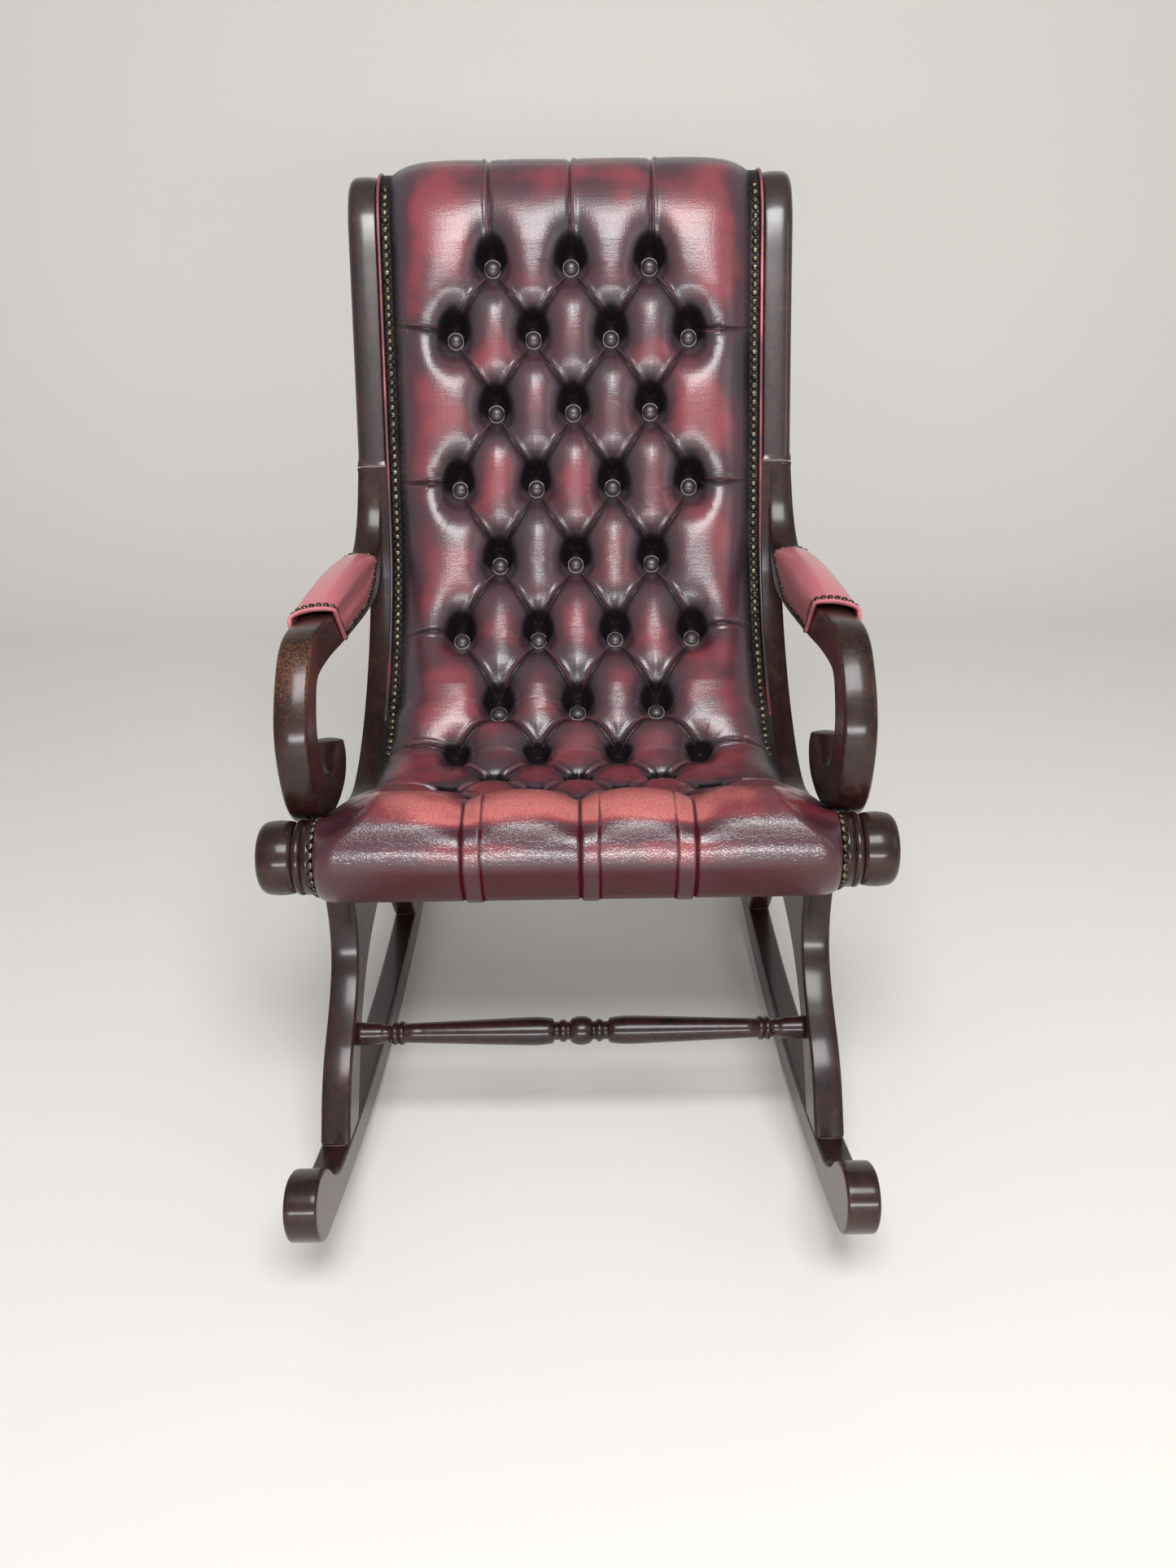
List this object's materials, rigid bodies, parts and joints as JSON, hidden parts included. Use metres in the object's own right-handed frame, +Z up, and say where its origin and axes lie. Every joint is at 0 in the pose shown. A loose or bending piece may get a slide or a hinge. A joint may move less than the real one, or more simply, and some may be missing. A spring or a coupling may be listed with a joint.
{
  "type": "leather rocking chair",
  "caption": "Low rocking chair with a deep-buttoned leather seat and back in one curve, a rolled seat front, scroll arms and sabre legs on curved wooden rockers.",
  "frame": {"origin": "on the floor, under the middle of the overall box", "axes": "+X to the right as seen from the front, +Y to the chair's back, +Z up"},
  "size_m": [0.624, 0.8803, 0.9876],
  "materials": {
    "stained_wood": "mahogany stain, gloss lacquer",
    "bare_wood": "sawn, unstained",
    "stuffed_leather": "antiqued oxblood leather over stuffing",
    "dark_leather": "dark antiqued leather, semi-gloss",
    "webbing": "woven, matt",
    "antique_brass": "antiqued"
  },
  "bodies": {
    "root": {"left_rocker": "stained_wood", "left_front_leg": "stained_wood", "left_rear_leg": "stained_wood", "left_side_rail": "stained_wood", "left_back_post": "stained_wood", "left_arm": "stained_wood", "left_collar": "stained_wood", "left_roundel": "stained_wood", "left_roll_end": "stained_wood", "left_arm_pad": "stuffed_leather", "left_back_welt": "dark_leather", "left_back_nails": "antique_brass", "left_roll_nails": "antique_brass", "right_rocker": "stained_wood", "right_front_leg": "stained_wood", "right_rear_leg": "stained_wood", "right_side_rail": "stained_wood", "right_back_post": "stained_wood", "right_arm": "stained_wood", "right_collar": "stained_wood", "right_roundel": "stained_wood", "right_roll_end": "stained_wood", "right_arm_pad": "stuffed_leather", "right_back_welt": "dark_leather", "right_back_nails": "antique_brass", "right_roll_nails": "antique_brass", "front_stretcher": "stained_wood", "rear_stretcher": "stained_wood", "seat_front_rail": "bare_wood", "seat_rear_rail": "bare_wood", "back_lower_rail": "bare_wood", "back_top_rail": "bare_wood", "frame_dowels": "bare_wood", "seat_webbing": "webbing", "back_webbing": "webbing", "seat_cushion": "stuffed_leather", "back_cushion": "stuffed_leather", "front_roll": "stuffed_leather", "rear_cover": "dark_leather", "seat_buttons": "dark_leather", "back_buttons": "dark_leather", "bottom_cover": "webbing"}
  },
  "joints": []
}
